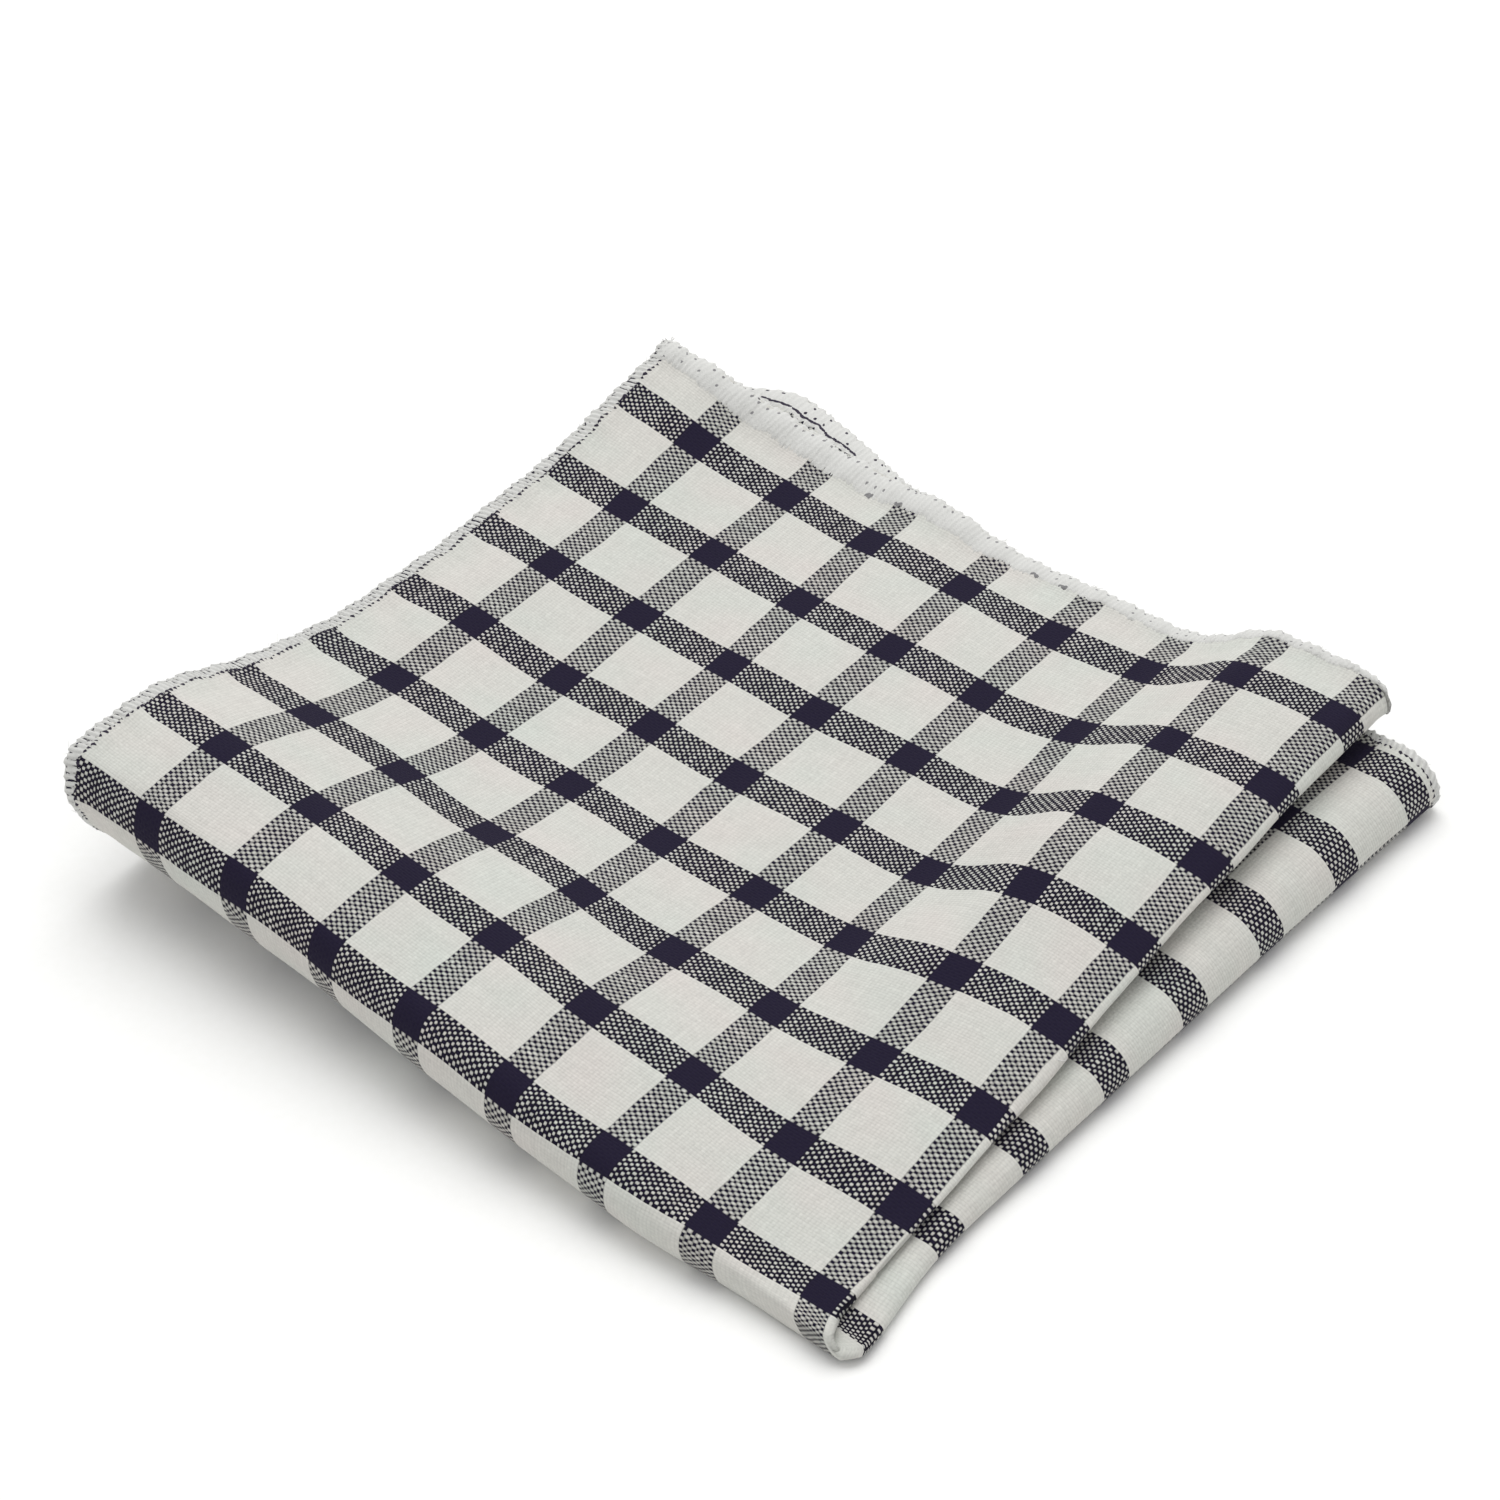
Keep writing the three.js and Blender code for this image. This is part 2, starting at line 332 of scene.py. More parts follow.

# %% [markdown]
# ## Small creases
# The solid has the main folds. The sheet adds what the hand feels: hems that curl up a little and
# pucker along their stitching, a few soft ridges where the cloth was pressed, and a slow unevenness.
# Each is a small height along the cloth's own normal, given in flat sizes. A crease is a bell
# across a line, eased off at both ends.

# %% Relief of the sheet
CREASES = [
    dict(start=(40.0, 3.5), end=(58.0, 34.0), height=0.35, width=2.2),
    dict(start=(8.0, 3.0), end=(24.0, 4.2), height=-0.35, width=1.6),
    dict(start=(88.0, 30.0), end=(108.0, 64.0), height=0.25, width=3.0),
    dict(start=(6.0, 40.0), end=(34.0, 62.0), height=0.2, width=4.0),
    dict(start=(62.0, 72.0), end=(90.0, 94.0), height=-0.2, width=4.5),
    dict(start=(-8.0, -1.0), end=(66.0, -1.0), height=1.6, width=2.6),
]
CURL = dict(lift=0.35, reach=1.7, trough=0.22, trough_at=3.7, trough_width=1.2)
PUCKER = dict(height=0.14, reach=4.0, wave=5.3, strays=3.0, stray_wave=17.0,
              starts=(0.0, 61.0, 23.0, 97.0))
UNEVEN = dict(height=0.12, waves=((31.0, 47.0), (-23.0, 38.0), (57.0, -19.0)))
FREE_SPAN = 24.0
HELD = 0.3


def crease(row, s, t):
    """A bell across the line from start to end, which eases in and out over the line's length."""
    start = np.array(row["start"])
    line = np.array(row["end"]) - start
    length = np.hypot(*line)
    across = ((s - start[0]) * line[1] - (t - start[1]) * line[0]) / length
    run = ((s - start[0]) * line[0] + (t - start[1]) * line[1]) / length ** 2
    held = ease(2.0 * run) * ease(2.0 - 2.0 * run)
    return row["height"] * bell(across, row["width"]) * held


def hem_relief(from_hem, along_hem):
    """Near a hem: a lift at the edge, a trough just inside the stitching, and a pucker along it."""
    lift = CURL["lift"] * bell(from_hem, CURL["reach"])
    trough = CURL["trough"] * bell(from_hem - CURL["trough_at"], CURL["trough_width"])
    strayed = PUCKER["strays"] * np.sin(along_hem / PUCKER["stray_wave"])
    wave = np.sin(2 * np.pi * along_hem / PUCKER["wave"] + strayed)
    return lift - trough + PUCKER["height"] * wave * bell(from_hem, PUCKER["reach"])


def freedom(s, t):
    """How free a layer is to crease: the top one fully, the two inside a little, the lowest not at all."""
    outer = ease((FIRST_FOLD - s) / FREE_SPAN + 0.5)
    upper = ease((SECOND_FOLD - t) / FREE_SPAN + 0.5)
    return upper * outer + HELD * (upper * (1.0 - outer) + (1.0 - upper) * (1.0 - outer))


def relief(s, t):
    """All small heights together, hems, creases and three slow waves, as far as the layer is free."""
    height = sum(crease(row, s, t) for row in CREASES)
    hems_near = ((s, t), (WIDE - s, t), (t, s), (LONG - t, s))
    for (from_hem, along_hem), start in zip(hems_near, PUCKER["starts"]):
        height = height + hem_relief(from_hem, along_hem + start)
    for wave_s, wave_t in UNEVEN["waves"]:
        height = height + UNEVEN["height"] * np.sin(2 * np.pi * (s / wave_s + t / wave_t) + wave_s)
    return height * freedom(s, t)


def cloth(s, t):
    """The middle of the sheet: the folded square plus its relief along its own normal."""
    return folded(s, t) + relief(s, t)[..., None] * facing(folded, s, t)


probe = relief(*np.meshgrid(np.linspace(0.0, WIDE, 60), np.linspace(0.0, LONG, 60)))
print("relief, mm, lowest and highest:", probe.min().round(2), probe.max().round(2))

# %% [markdown]
# ## The sheet
# The sheet is a grid over the flat square, closed with two sides and a cut edge. Even steps would
# waste points on the flat and starve the folds, so the steps are graded: the running sum of one over
# the wanted spacing is cut into equal parts. Rows lean with the upper half, so that one row runs
# exactly along the outer fold.

# %% The sheet of cloth
CLOTH_THICK = 0.56
INSET = 0.45
EDGE_SPAN = 5.0
LEFT_EDGE = 0.5
FAR_EDGE = [
    dict(at=32.0, out=1.1, span=16.0),
    dict(at=118.0, out=-0.8, span=13.0),
    dict(at=FIRST_FOLD, out=-1.2, span=1.8),
]
COARSE = 1.42
FINE_STEPS = 4001
FOCUS_S = [dict(at=0.0, finest=0.5, span=7.0), dict(at=FIRST_FOLD, finest=0.24, span=8.0),
           dict(at=WIDE, finest=0.5, span=7.0)]
FOCUS_T = [dict(at=0.0, finest=0.5, span=7.0), dict(at=SECOND_FOLD, finest=0.3, span=26.0),
           dict(at=LONG, finest=0.5, span=7.0)]


def graded(length, focus):
    """Places from 0 to length whose spacing falls from coarse to finest towards each row's place."""
    fine = np.linspace(0.0, length, FINE_STEPS)
    spacing = np.full_like(fine, COARSE)
    for row in focus:
        near = np.clip(np.abs(fine - row["at"]) / row["span"], 0.0, 1.0)
        spacing = np.minimum(spacing, row["finest"] + (COARSE - row["finest"]) * near)
    count = np.concatenate([[0.0], np.cumsum(np.diff(fine) * 2.0 / (spacing[1:] + spacing[:-1]))])
    return np.interp(np.linspace(0.0, count[-1], int(count[-1]) + 2), count, fine)


def far_edge(s):
    """How far the far hem runs out past the square or, below zero, is drawn in: a bell for each row."""
    return sum(row["out"] * bell(s - row["at"], row["span"]) for row in FAR_EDGE)


def moved(distance, out):
    """Distances from a hem, moved so that the edge lies this far out and the rest stays put."""
    return distance + (INSET - out) * bell(distance, EDGE_SPAN)


def flat_grid():
    """Flat places s and t of every grid point, a row for each distance from the second fold."""
    s, t = np.meshgrid(graded(WIDE, FOCUS_S), graded(LONG, FOCUS_T))
    s = np.where(s < FIRST_FOLD, moved(s, LEFT_EDGE), WIDE - moved(WIDE - s, 0.0))
    t = np.where(t < SECOND_FOLD, moved(t, far_edge(s)), LONG - moved(LONG - t, 0.0))
    w = SECOND_FOLD - t
    fading = 1.0 - np.abs(w) / np.where(w > 0, SECOND_FOLD, LONG - SECOND_FOLD)
    return s, t - np.abs(s - FIRST_FOLD) * math.tan(TURN_UPPER) * fading


flat_s, flat_t = flat_grid()
middle_points = cloth(flat_s, flat_t)
normals = facing(cloth, flat_s, flat_t)
print("grid:", flat_s.shape)

# %% [markdown]
# A mesh helper takes arrays of points, faces and flat coordinates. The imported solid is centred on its
# own box, so one shift carries both models to the same place.

# %% Mesh helpers
SHIFT = np.array([-62.23, -55.48, 0.0])


def to_frame(points):
    """Millimetres on the folded square to metres in the shared frame. Nothing sinks below the table."""
    placed = points + SHIFT
    placed[..., 2] = np.maximum(placed[..., 2], 0.0)
    return placed * MM


def quads(rows, columns, first=0):
    """Corner numbers of a grid's quads, counter-clockwise when rows run down and columns right."""
    number = first + np.arange(rows * columns).reshape(rows, columns)
    return np.stack([number[:-1, :-1], number[1:, :-1], number[1:, 1:], number[:-1, 1:]], -1).reshape(-1, 4)


def make_piece(name, points, faces, flat=None):
    """A smooth mesh object at the origin, with a UV map when flat coordinates are given."""
    mesh = bpy.data.meshes.new(name)
    mesh.from_pydata(to_frame(points.reshape(-1, 3)).tolist(), [], faces.tolist())
    if flat is not None:
        layer = mesh.uv_layers.new(name="flat")
        layer.data.foreach_set("uv", flat.reshape(-1, 2)[faces.ravel()].ravel())
    mesh.polygons.foreach_set("use_smooth", np.ones(len(faces), dtype=bool))
    mesh.update()
    piece = bpy.data.objects.new(name, mesh)
    bpy.context.scene.collection.objects.link(piece)
    return piece


def two_sided(middle, normal, thick):
    """The points half a thickness above and below a grid, and the faces of both sides and the rim."""
    rows, columns = middle.shape[:2]
    sides = [(middle + normal * offset).reshape(-1, 3) for offset in (thick / 2, -thick / 2)]
    number = np.arange(rows * columns).reshape(rows, columns)
    rim = np.concatenate([number[0, :-1], number[:-1, -1], number[-1, :0:-1], number[:0:-1, 0]])
    after = np.roll(rim, -1)
    below = rows * columns
    edge = np.stack([rim, after, after + below, rim + below], -1)
    faces = np.concatenate([quads(rows, columns), quads(rows, columns, below)[:, ::-1], edge])
    return np.concatenate(sides), faces


points, faces = two_sided(middle_points, normals, CLOTH_THICK)
print("sheet triangles:", 2 * len(faces))

# %% [markdown]
# Yarns don't run quite straight. The check wanders slowly over the square, and a hand that presses a
# corner draws the yarns there round with it. So each grid point takes a flat place that is a little off
# its own: drawn to the front above the near corner and to the tip below it, slack and pushed out along
# the lower doubled fold, and swaying by two slow waves everywhere.

# %% Flat places of the check
TO_TIP = dict(t=2.0, start=(112.0, 116.6), end=(115.8, 140.0), beside=16.0)
TO_FRONT = dict(t=0.9, at=105.0, below=14.0, above=4.0)
LOWER_HALF = dict(slack=0.016, begins=130.0, out=1.2, at=126.0, span=9.0, t=(130.0, 170.0))
WANDER = dict(out=0.22, waves=((37.0, 61.0), (-29.0, 83.0)))


def woven_place(s, t):
    """The flat place plus what draws the yarns along t, what pushes them along s and two sine waves, as
    shares of the square's sides."""
    drawn = TO_TIP["t"] * ramp(t, TO_TIP["start"]) * (1.0 - ramp(t, TO_TIP["end"]))
    drawn = drawn - TO_FRONT["t"] * bell(t - TO_FRONT["at"], TO_FRONT["below"], TO_FRONT["above"])
    drawn = drawn * bell(s - FIRST_FOLD, TO_TIP["beside"])
    drawn = drawn - LOWER_HALF["slack"] * np.maximum(t - LOWER_HALF["begins"], 0.0)
    pushed = LOWER_HALF["out"] * bell(s - LOWER_HALF["at"], LOWER_HALF["span"]) * ramp(t, LOWER_HALF["t"])
    sway_s, sway_t = [WANDER["out"] * np.sin(2 * np.pi * (s / a + t / b)) for a, b in WANDER["waves"]]
    return np.stack([(s + pushed + sway_s) / WIDE, (t + drawn + sway_t) / LONG], -1)


flat_uv = woven_place(flat_s, flat_t)
sheet = make_piece("cloth_sheet", points, faces, np.concatenate([flat_uv.reshape(-1, 2)] * 2))
print("check repeats across the square:", (np.ptp(flat_uv, axis=(0, 1)) * (WIDE, LONG) / REPEAT).round(1))

# %% [markdown]
# ## Overlocked hems
# The edge of the square is overlocked: white thread is wound round the cut edge, stitch by stitch. A
# closed oval section is carried along each hem in flat coordinates, as distance from the edge and
# height over the cloth, and then folded with the cloth, so it goes round every fold with no fitting.
# Slanting ripples along it are the turns of thread, and each stitch bites in a little differently.

# %% Hem band
BAND = dict(outside=0.05, half_thick=0.46, turn=0.72, slant=0.9, uneven=0.14, uneven_wave=2.1,
            scallop=0.15, fuzz=0.07)
KNOTS = 64
ENDS = 0.4
OVAL = 0.75
AROUND_STEPS = 12
STEPS_PER_TURN = 4


def uneven_along(place, wave, seed_row):
    """A smooth random height from -1 to 1 along a hem: random knots, joined by straight lines."""
    knots = np.random.default_rng(seed_row).permutation(np.linspace(-1.0, 1.0, KNOTS))
    return np.interp(place / wave % (KNOTS - 1), np.arange(KNOTS), knots)


def band_section(hem, along, angle, seed_row):
    """Distance from the cut edge and height over the cloth of an oval, rippled by the slanting turns
    and scalloped at its outer edge, stitch by stitch."""
    inside = hem["inside"](along)
    bite = inside * (1.0 + BAND["uneven"] * uneven_along(along, BAND["uneven_wave"], seed_row))
    scallop = BAND["scallop"] * np.cos(np.pi * along / BAND["turn"]) * (1.0 + np.cos(angle)) / 2
    outside = BAND["outside"] + hem["edge"](along)
    fuzz = BAND["fuzz"] * np.random.default_rng(seed_row).normal(size=along.shape)
    depth = (bite - outside) / 2 - (bite + outside) / 2 * np.cos(angle) - scallop + fuzz
    turns = along / BAND["turn"] + BAND["slant"] * depth / inside * np.sign(np.sin(angle))
    rippled = 1.0 - hem["ripple"] * (1.0 - np.cos(2 * np.pi * turns))
    rounded = np.sign(np.sin(angle)) * np.abs(np.sin(angle)) ** OVAL
    return depth, BAND["half_thick"] * rounded * (rippled + fuzz)


def hem_band(hem, seed_row):
    """The folded points of one hem's band, and the place along the hem and the angle of each."""
    steps = int(hem["length"] / BAND["turn"] * STEPS_PER_TURN)
    along, angle = np.meshgrid(np.linspace(ENDS, hem["length"] - ENDS, steps + 1),
                               np.linspace(0.0, 2 * np.pi, AROUND_STEPS, endpoint=False), indexing="ij")
    depth, height = band_section(hem, along, angle, seed_row)
    s, t = hem["place"](depth, along)
    points = cloth(s, t) + height[..., None] * facing(cloth, s, t)
    return points, along, angle


FAR_INSIDE = 1.8
FAR_WIDER = [dict(at=20.0, more=1.5, span=38.0), dict(at=205.0, more=2.4, span=30.0)]


def far_inside(s):
    """The far hem takes a wider bite of the cloth towards both of its ends."""
    return FAR_INSIDE + sum(row["more"] * bell(s - row["at"], row["span"]) for row in FAR_WIDER)


HEMS = [
    dict(length=LONG, inside=lambda along: 1.75, edge=lambda along: LEFT_EDGE, ripple=0.2,
         place=lambda depth, along: (depth, along)),
    dict(length=LONG, inside=lambda along: 1.85, edge=lambda along: 0.0, ripple=0.2,
         place=lambda depth, along: (WIDE - depth, along)),
    dict(length=WIDE, inside=far_inside, edge=far_edge, ripple=0.07,
         place=lambda depth, along: (along, depth)),
    dict(length=WIDE, inside=lambda along: 1.7, edge=lambda along: 0.0, ripple=0.2,
         place=lambda depth, along: (along, LONG - depth)),
]
bands = [hem_band(hem, row) for row, hem in enumerate(HEMS)]
print("hem bands:", [band[0].shape[:2] for band in bands])

# %% [markdown]
# The four bands become one mesh. Each is a pipe of rings, and a strip of quads closes the oval at
# either end. Mirrored hems would come out with their faces turned in, so the sign of the volume
# inside a pipe decides which way round its quads are listed.

# %% Join the hems
TURNS = [hem["length"] / BAND["turn"] for hem in HEMS]


def pipe_quads(rings, sides):
    """Quads between neighbouring rings, and a strip of quads across the first and the last ring."""
    number = np.arange(rings * sides).reshape(rings, sides)
    around = np.roll(number, -1, axis=1)
    walls = np.stack([number[:-1], around[:-1], around[1:], number[1:]], -1).reshape(-1, 4)
    left = np.arange(sides // 2 - 1)
    strip = np.stack([left, left + 1, sides - 2 - left, sides - 1 - left], -1)
    return np.concatenate([walls, number[0][strip][:, ::-1], number[-1][strip]])


def outward(points, faces):
    """The faces, turned round if the volume that they enclose comes out negative."""
    corner = points.reshape(-1, 3)[faces]
    volume = np.einsum("ij,ij->i", corner[:, 0], np.cross(corner[:, 1], corner[:, 2])).sum()
    volume += np.einsum("ij,ij->i", corner[:, 0], np.cross(corner[:, 2], corner[:, 3])).sum()
    return faces if volume > 0 else faces[:, ::-1]


def join(pipes):
    """Points and faces of several pipes as one list of each."""
    starts = np.cumsum([0] + [pipe.shape[0] * pipe.shape[1] for pipe in pipes[:-1]])
    faces = [outward(pipe, pipe_quads(*pipe.shape[:2])) + start for pipe, start in zip(pipes, starts)]
    return np.concatenate([pipe.reshape(-1, 3) for pipe in pipes]), np.concatenate(faces)


def band_uv(bands):
    """The running turn number over all hems and the place across the band, from its outer edge to its
    inner one, both from 0 to 1."""
    before = np.cumsum([0.0] + TURNS[:-1])
    rows = []
    for start, (_, along, angle) in zip(before, bands):
        turn = (start + along / BAND["turn"]) / sum(TURNS)
        rows.append(np.stack([turn, (1.0 - np.cos(angle)) / 2], -1).reshape(-1, 2))
    return np.concatenate(rows)


hem_points, hem_faces = join([band[0] for band in bands])
hems = make_piece("overlocked_hems", hem_points, hem_faces, band_uv(bands))
print("hem triangles:", 2 * len(hem_faces))

# %% [markdown]
# ## Loose threads
# An overlocker leaves a short tail of thread at the corner where it starts and stops, and a few ends
# work loose. Each is a thin tube along a short curve that starts on the cloth and rises from it.

# %% Thread tails
TAIL_RADIUS = 0.1
TAIL_TURN = 2.4
TAIL_END = 0.6
ASIDE = (0.31, 0.52, 0.79)
TAILS = [
    dict(start=(0.3, 0.9), away=(-0.9, 0.5, 0.3), curl=0.5),
    dict(start=(0.8, 0.3), away=(-0.3, 1.1, 0.2), curl=-0.5),
    dict(start=(0.2, 0.4), away=(-0.8, 0.3, 0.1), curl=-0.4),
    dict(start=(0.5, 0.2), away=(-0.6, 0.8, 0.0), curl=0.6),
    dict(start=(173.0, -0.2), away=(1.2, 1.0, 0.5), curl=0.4),
    dict(start=(114.6, 70.5), away=(0.9, 0.7, 0.5), curl=0.6),
]


def tail_path(row, steps=14):
    """A curve that leaves the cloth at a flat place, goes away from it and curls to one side."""
    run = np.linspace(0.0, 1.0, steps)[:, None]
    start = cloth(np.array(row["start"][0]), np.array(row["start"][1]))
    away = np.array(row["away"])
    side = np.cross(away, (0.0, 0.0, 1.0))
    return start + away * run + row["curl"] * side / np.linalg.norm(side) * np.sin(TAIL_TURN * run) * run


def tube(path, radius, sides=6):
    """Rings round a path: two directions square to it carry a circle, which narrows at the far end."""
    ahead = np.gradient(path, axis=0)
    ahead = ahead / np.linalg.norm(ahead, axis=1, keepdims=True)
    first = np.cross(ahead, ASIDE)
    first = first / np.linalg.norm(first, axis=1, keepdims=True)
    second = np.cross(ahead, first)
    angle = np.linspace(0.0, 2 * np.pi, sides, endpoint=False)[None, :, None]
    thin = radius * np.linspace(1.0, TAIL_END, len(path))[:, None, None]
    return path[:, None] + thin * (np.cos(angle) * first[:, None] + np.sin(angle) * second[:, None])


tails = make_piece("thread_tails", *join([tube(tail_path(row), TAIL_RADIUS) for row in TAILS]))
print("tails:", len(TAILS))

# %% [markdown]
# Cotton thread is hairy as well. Single fibres stand off the hems in all directions, too thin to count
# and just thick enough to soften the outline. Their roots, lengths and turns are random numbers with a
# fixed seed, and all of them are one array of short curves.

# %% Fibres on the hems
FIBRES = dict(each=150, radius=0.026, shortest=0.3, longest=1.1, bend=0.35, steps=5, sides=4, seed=100,
              from_end=0.5, depth=(-0.2, 1.0), out=0.6, out_strays=0.4, lift=0.7)


def fibre_paths(hem, seed_row):
    """Curves from random places on one hem: outward and upward by random amounts, and bent to a side."""
    rng = np.random.default_rng(FIBRES["seed"] + seed_row)
    along = rng.uniform(FIBRES["from_end"], hem["length"] - FIBRES["from_end"], FIBRES["each"])
    depth = rng.uniform(*FIBRES["depth"], FIBRES["each"]) - hem["edge"](along)
    root = cloth(*hem["place"](depth, along))
    out = root - cloth(*hem["place"](depth + 0.2, along))
    out = out / np.linalg.norm(out, axis=-1, keepdims=True)
    lift = facing(cloth, *hem["place"](depth, along))
    beside = np.cross(out, lift)
    turned = rng.uniform(-1.0, 1.0, (3, FIBRES["each"], 1))
    way = out * (FIBRES["out"] + FIBRES["out_strays"] * turned[0])
    way = way + lift * turned[1] * FIBRES["lift"] + beside * turned[2]
    length = rng.uniform(FIBRES["shortest"], FIBRES["longest"], (FIBRES["each"], 1))
    run = np.linspace(0.0, 1.0, FIBRES["steps"])[:, None, None]
    return root + way * length * run + FIBRES["bend"] * beside * turned[1] * length * run ** 2


fibre_tubes = [tube(path, FIBRES["radius"], FIBRES["sides"]) for row, hem in enumerate(HEMS)
               for path in np.moveaxis(fibre_paths(hem, row), 1, 0)]
fibres = make_piece("hem_fibres", *join(fibre_tubes))
print("fibres:", len(fibre_tubes))

# %% [markdown]
# ## Shader maths
# Materials are sums of patterns. One small class wraps a node's output, so that a plain expression
# such as 1 - mask adds the Math node for it, and one method adds any other node.

# %% A wrapped socket
class Strand:
    """A value on its way through a material: sums and comparisons of it add Math nodes."""

    def __init__(self, tree, socket=None):
        self.tree = tree
        self.socket = socket

    def node(self, kind, settings=None, sockets=None, output=0):
        """Adds a node, sets its settings, then gives each socket its value or its link."""
        made = self.tree.nodes.new(kind)
        for name, value in (settings or {}).items():
            setattr(made, name, value)
        for name, value in (sockets or {}).items():
            if isinstance(value, Strand):
                self.tree.links.new(value.socket, made.inputs[name])
            else:
                made.inputs[name].default_value = value
        return Strand(self.tree, made.outputs[output] if made.outputs else None)

    def maths(self, operation, *values):
        return self.node("ShaderNodeMath", {"operation": operation}, dict(enumerate(values)))

    def __add__(self, other):
        return self.maths("ADD", self, other)

    def __sub__(self, other):
        return self.maths("SUBTRACT", self, other)

    def __rsub__(self, other):
        return self.maths("SUBTRACT", other, self)

    def __mul__(self, other):
        return self.maths("MULTIPLY", self, other)

    def __mod__(self, other):
        return self.maths("FLOORED_MODULO", self, other)

    def __gt__(self, other):
        return self.maths("GREATER_THAN", self, other)

    def __lt__(self, other):
        return self.maths("LESS_THAN", self, other)

    def floor(self):
        return self.maths("FLOOR", self)

    def cosine(self):
        return self.maths("COSINE", self)

    __radd__ = __add__
    __rmul__ = __mul__


def new_material(name):
    """An empty material's strand, and a function that finishes it with a Principled shader."""
    material = bpy.data.materials.new(name)
    material.use_nodes = True
    tree = material.node_tree
    tree.nodes.clear()
    strand = Strand(tree)

    def finish(sockets):
        shader = strand.node("ShaderNodeBsdfPrincipled", None, sockets)
        strand.node("ShaderNodeOutputMaterial", None, {"Surface": shader})
        return material

    return strand, finish


def mixed(strand, factor, first, second):
    """The first colour where the factor is 0 and the second where it is 1."""
    sockets = {"Factor": factor, 6: first, 7: second}
    return strand.node("ShaderNodeMix", {"data_type": "RGBA"}, sockets, output=2)


def scaled(strand, shade, by):
    """A colour made darker or lighter by a factor."""
    return strand.node("ShaderNodeVectorMath", {"operation": "SCALE"}, {"Vector": shade, "Scale": by})


def colour(hex_code):
    """A colour as paint shops write it, in the linear values that shaders work with."""
    part = [int(hex_code[i:i + 2], 16) / 255 for i in (0, 2, 4)]
    return tuple(c / 12.92 if c < 0.04045 else ((c + 0.055) / 1.055) ** 2.4 for c in part) + (1.0,)


print("half grey in linear values:", round(colour("808080")[0], 3))

# %% [markdown]
# ## The woven check
# The cloth is a plain weave with 20 yarns to the centimetre one way and 27 the other, and navy yarns
# in every repeat both ways. A print would show flat grey bands, while woven ones show dots where yarns
# of two colours cross. So the material follows both sets of yarns: each has a round back that rises and
# dips in turn, the higher of the two shows, and its yarn's colour is the cloth's colour there. Yarns
# one way lie a little higher than those the other way, which is why bands that way are darker.

# %% Cloth material
YARNS_S = dict(repeat=28, navy=8, band=13.0)
YARNS_T = dict(repeat=38, navy=12, band=9.8)
WHITE_YARN = colour("cececa")
NAVY_YARN = colour("1e192e")
CROWN = 0.9
OVER = 0.98
WAVER = 0.3
ACROSS_YARNS = 0.9
ALONG_YARNS = 0.12
SLUB_LENGTH = 0.1
SLUB_SCATTER = 7.31
SLUB_LIFT = 1.1

weave, finish_cloth = new_material("woven_check")
flat_map = weave.node("ShaderNodeUVMap", {"uv_map": "flat"})
flat_x = weave.node("ShaderNodeSeparateXYZ", None, {"Vector": flat_map}, output=0)
flat_y = weave.node("ShaderNodeSeparateXYZ", None, {"Vector": flat_map}, output=1)


def noise(strand, x, y, scale=1.0, detail=2.0):
    """Smooth noise from 0 to 1 over two values."""
    place = strand.node("ShaderNodeCombineXYZ", None, {"X": x, "Y": y})
    return strand.node("ShaderNodeTexNoise", {"noise_dimensions": "2D"},
                       {"Vector": place, "Scale": scale, "Detail": detail})


def yarn_count(flat, length, yarns):
    """The number of yarns from the start of the first navy band, whose middle lies at band."""
    per_mm = yarns["repeat"] / REPEAT
    return flat * (length * per_mm) - (yarns["band"] * per_mm - yarns["navy"] / 2)


count_s = yarn_count(flat_x, WIDE, YARNS_S)
count_t = yarn_count(flat_y, LONG, YARNS_T)
yarn_s = count_s + WAVER * (noise(weave, count_s * ACROSS_YARNS, count_t * ALONG_YARNS) - 0.5) * 2.0
yarn_t = count_t + WAVER * (noise(weave, count_s * ALONG_YARNS, count_t * ACROSS_YARNS) - 0.5) * 2.0
number_s = yarn_s.floor()
number_t = yarn_t.floor()
off_s = yarn_s - number_s - 0.5
off_t = yarn_t - number_t - 0.5
over = 1.0 - 2.0 * ((number_s + number_t) % 2.0)
slub_s = noise(weave, number_s * SLUB_SCATTER, count_t * SLUB_LENGTH) - 0.5
slub_t = noise(weave, count_s * SLUB_LENGTH, number_t * SLUB_SCATTER) - 0.5
back_s = over * (off_t * math.pi).cosine() - 4.0 * CROWN * off_s * off_s + SLUB_LIFT * slub_s
back_t = OVER - over * (off_s * math.pi).cosine() - 4.0 * CROWN * off_t * off_t + SLUB_LIFT * slub_t
s_shows = back_s > back_t
height = weave.maths("MAXIMUM", back_s, back_t)
navy_s = (number_s % YARNS_S["repeat"]) < YARNS_S["navy"] - 0.5
navy_t = (number_t % YARNS_T["repeat"]) < YARNS_T["navy"] - 0.5
navy = navy_t + s_shows * (navy_s - navy_t)
print("yarns, mm apart:", [round(REPEAT / yarns["repeat"], 3) for yarns in (YARNS_S, YARNS_T)])

# %% [markdown]
# Colour then takes its small differences: every yarn is a shade of its own, slubs are lighter, the
# rims of the yarns get painted shade where they dip between their neighbours, most of all in the bands
# where navy crosses white, which also take a flat darkening, partly navy showing through and partly
# painted shade, and slow patches of warm and cool break the white up.

# %% Cloth colour and finish
DIP_SHADE = 0.06
YARN_SHADE = 0.12
SHOWS_THROUGH_AND_SHADE = 0.1
RIM_SHADE = 0.33
RIM_MOST = 1.6
MOTTLE = dict(shade=0.1, s=0.5, t=0.4)
GRAIN = dict(shade=0.14, s=1.7, t=1.3)
WARM = colour("d3cbc6")
COOL = colour("c8cec6")
PATCHES = dict(share=0.75, scale=0.045)
WEAVE_BUMP = dict(strength=0.3, distance=0.1)

